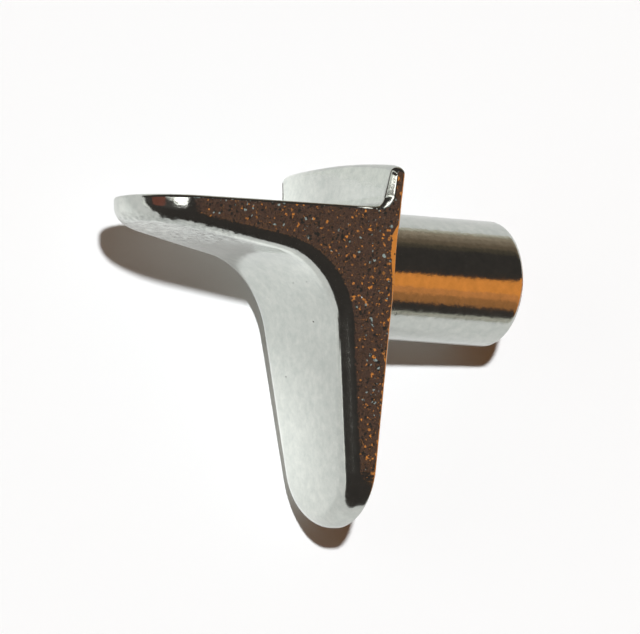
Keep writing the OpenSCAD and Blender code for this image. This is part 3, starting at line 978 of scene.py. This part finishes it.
hang("orange_board", [(-33, 51), (-26, 52.5), (-10, 52), (-4, 47), (4, 30), (4, 1), (-22, 1), (-29, 38)],
     (0.93, 0.33, 0.07))
hang("orange_shade", [(-37, 50), (-33, 51), (-29, 38), (-22, 1), (-32, 1), (-38, 30), (-41, 44)], (0.68, 0.26, 0.08))
hang("orange_dusk", [(-41, 50), (-37, 50), (-41, 44), (-38, 30), (-32, 1), (-42, 1), (-48, 24), (-50, 38)],
     (0.40, 0.17, 0.06))
hang("umber_edge", [(-37, 57), (-37, 50), (-33, 51), (-26, 52.5), (-10, 52), (-12, 57), (-30, 55.5)],
     (0.17, 0.09, 0.055))
hang("maroon_cloth", [(-37, 57), (-30, 55.5), (-12, 57), (-12, 72), (-30, 76), (-60, 76), (-45, 66)],
     (0.083, 0.045, 0.038), 1.0, (0.24, 0.155, 0.11))
hang("ember_edge", [(-46, 56), (-37, 58), (-37, 62), (-44, 62)], (0.20, 0.095, 0.05))
hang("lamp_edge", [(184, 50), (195, 43), (204, 51), (212, 59), (210, 68), (190, 68)], (1.0, 0.98, 0.93), 2.4)
hang("pale_wall", [(150, 0), (150, 4), (180, 6), (200, 5), (215, 2), (215, 0)], (1.15, 1.15, 1.12))
hang("pale_screen", [(160, 4), (180, 6), (187, 6), (191, 20), (195, 34), (196, 43), (184, 50), (170, 50), (160, 34)],
     (0.80, 0.80, 0.76))
print("the cards hang", CARD_DISTANCE, "m from the part")

# %% [markdown]
# A card far away shows only on the faces that lean towards it. The dark and bright lines that follow one edge are
# painted reflections: cards close to the part that only the metal shows, named after things that could lie on a
# bench: a ruler, a box, a block, a book and a tag.

# %% Cards beside the part that paint reflections in the metal
ON_PAPER = 0.05     # the rise of something that lies on the paper


def put(name, corners, colour):
    """Something flat on the table, by (right, ahead) pairs, or in the air, with its rise as a third number."""
    flat_card(name, [over_table(*(*corner, ON_PAPER)[:3]) for corner in corners], colour)


# Things that stand on edge. Ruler and box run left to right: (right, rise). The blocks run ahead: (ahead, rise).
ruler = [
    (-14.5, 6.2), (-12.5, 5.2), (-10.5, 4.6), (-9, 6), (-7.7, 6.7), (-5.9, 6.7), (-4.7, 6.3), (-4.7, 8), (-14.5, 8),
]
box = [
    (-2.6, 5.3), (-2.2, 4.9), (-1.2, 4.65), (1.1, 4.7), (1.9, 5.05), (2.5, 5.4), (3, 5.9), (3.3, 6.4), (5, 6.6),
    (5, 12), (-2.6, 12),
]
block = [
    (-4, 7.0), (1.3, 6.7), (3, 6.1), (8.5, 4.6), (8.5, 11.4), (1.9, 11.4), (1.35, 13.0), (1.1, 14.8), (0.45, 15.6),
    (-0.7, 19.6), (-1.9, 24.3), (-4.2, 33.5), (-8, 34.5), (-4, 20),
]
# A reddish card beside the dark block, which the ledge's tip mirrors: a painted reflection that gives the tip its red.
reddish_outline = [(0.95, 8.6), (1.5, 8.0), (2.6, 7.8), (2.6, 11.2), (1.0, 11.3), (0.65, 10.2)]
put("brown_desk", [(-400, 38), (400, 38), (400, 400), (-400, 400)], (0.55, 0.51, 0.42))
# Dark cards that only the metal shows: painted reflections that draw the dark lines along the edges.
put("dark_ruler", [(right, -5, rise) for right, rise in ruler], BLACK)
put("dark_box", [(right, -14, rise) for right, rise in box], BLACK)
put("dark_block", [(-14, ahead, rise) for ahead, rise in block], BLACK)
put("reddish_card", [(-13.9, ahead, rise) for ahead, rise in reddish_outline], (0.20, 0.07, 0.05))
put("orange_book", [(7.5, -1.5), (60, -1.5), (60, 2.6), (7.5, 2.6)], (0.45, 0.18, 0.06))
# The tag glows over twice as bright as white paper: a painted highlight that only the metal shows.
TAG_RISE = 8.6
tag = [(-0.52, 2.05), (-0.5, 2.9), (-0.05, 2.9), (-0.05, 2.6), (0.0, 2.4), (0.02, 2.0), (-0.2, 2.0)]
put("glowing_tag", [(*corner, TAG_RISE) for corner in tag], (2.2, 2.15, 2.05))
put("soft_shade", [(-9, 5.9), (-2, 5.1), (-2, 9), (-9, 9)], (0.92, 0.93, 0.91))
print("the tag hangs", TAG_RISE, "mm above the table")

# %% [markdown]
# Up along the cabinet stands a brown wall that fades upward, with a pale sill opposite. High up hang a tube lamp and a
# cool strip of window: narrow bright things give polished metal its crisp lights.

# %% The far wall, the tube lamp and the window
BROWN_WALL = [               # name, foot and top in degrees above the table, colour
    ("brown_wall", 0, 6, (0.35, 0.28, 0.21)),
    ("brown_wall_middle", 6, 13, (0.24, 0.185, 0.135)),
    ("brown_wall_top", 13, 20, (0.155, 0.115, 0.08)),
    ("brown_dusk", 20, 26, (0.08, 0.065, 0.048)),
]
for name, foot, top, colour in BROWN_WALL:
    hang(name, [(30, foot), (30, top), (90, top), (90, foot)], colour)
hang("pale_sill", [(304, -1), (318, -1), (318, 7), (304, 7)], (0.52, 0.50, 0.43))
hang("tube_lamp", [(185, 57), (195, 56), (238, 76), (222, 81)], (1.0, 0.98, 0.95), 3.0)
hang("cool_window", [(330, 74), (20, 74), (60, 80), (300, 82)], (0.80, 0.92, 0.92), 0.55)
print("the brown wall fades in", len(BROWN_WALL), "steps")

# %% [markdown]
# ## Lamps
#
# One small lamp over the table gives the crisp shadow. A low, wide window beyond the ledge fills it a little, and the
# rest of the room is dim and warm, which turns the shadows brown.

# %% Lamps and room light
def sun(name, towards, strength, width, colour):
    """A lamp so far away that its light comes from one direction. The metal doesn't mirror it."""
    light = bpy.data.lights.new(name, "SUN")
    light.energy, light.angle, light.color = strength, math.radians(width), colour
    o = link(name, light)
    face(o, towards)
    o.visible_glossy = False


LAMP_WAY = Vector((-0.4085, -0.8772, 0.2523)).normalized()
sun("lamp", LAMP_WAY, strength=3.23, width=3.0, colour=(0.945, 0.98, 1.0))
sun("window", way(172, 26), strength=0.15, width=35, colour=(1.0, 0.96, 0.92))

ROOM_COLOUR, ROOM_STRENGTH, BACKDROP = (1.0, 0.46, 0.16, 1), 0.082, (0.985, 0.985, 0.985, 1)
world = bpy.data.worlds.new("room")
bpy.context.scene.world = world
start_nodes(world)
rays = node("ShaderNodeLightPath").outputs
seen = math_node("MAXIMUM", rays["Is Camera Ray"], rays["Is Glossy Ray"])
seen = math_node("MAXIMUM", seen, rays["Is Transmission Ray"])
room = node("ShaderNodeBackground", {"Color": ROOM_COLOUR, "Strength": ROOM_STRENGTH})
backdrop = node("ShaderNodeBackground", {"Color": BACKDROP, "Strength": 1.0})
mixed = node("ShaderNodeMixShader", {0: seen, 1: room.outputs[0], 2: backdrop.outputs[0]})
node("ShaderNodeOutputWorld", {"Surface": mixed.outputs[0]})
print("the lamp stands", round(math.degrees(math.asin(LAMP_WAY @ table_up))), "degrees above the table")

# %% [markdown]
# ## The camera
#
# A small part is looked at from about 40 cm away with a long lens, which keeps its lines nearly parallel. The camera
# sees the plate's front and the near side at once, a little from below the ledge's level.

# %% The camera
AZIMUTH, ELEVATION, ROLL = -33.952, -4.008, -1.546
CAMERA_DISTANCE, AIM = 405.78 * MM, Vector((-0.7153, 0.6267, -1.7173)) * MM
SENSOR_WIDTH, LENS = 36.0, 589.52
a, e, r = math.radians(AZIMUTH), math.radians(ELEVATION), math.radians(ROLL)
towards_camera = Vector((math.sin(a) * math.cos(e), -math.cos(a) * math.cos(e), math.sin(e)))
level_right = (-towards_camera).cross(Vector((0, 0, 1))).normalized()
level_up = level_right.cross(-towards_camera)
camera_right = math.cos(r) * level_right - math.sin(r) * level_up
camera_up = math.sin(r) * level_right + math.cos(r) * level_up
camera = link("camera", bpy.data.cameras.new("camera"))
camera.data.sensor_width, camera.data.lens = SENSOR_WIDTH, LENS
camera.matrix_world = Matrix((camera_right, camera_up, towards_camera)).transposed().to_4x4()
camera.location = AIM + towards_camera * CAMERA_DISTANCE
bpy.context.scene.camera = camera
bpy.context.scene.view_settings.view_transform = "Standard"
print("the lens sees", round(SENSOR_WIDTH / LENS * CAMERA_DISTANCE / MM, 1), "mm across")
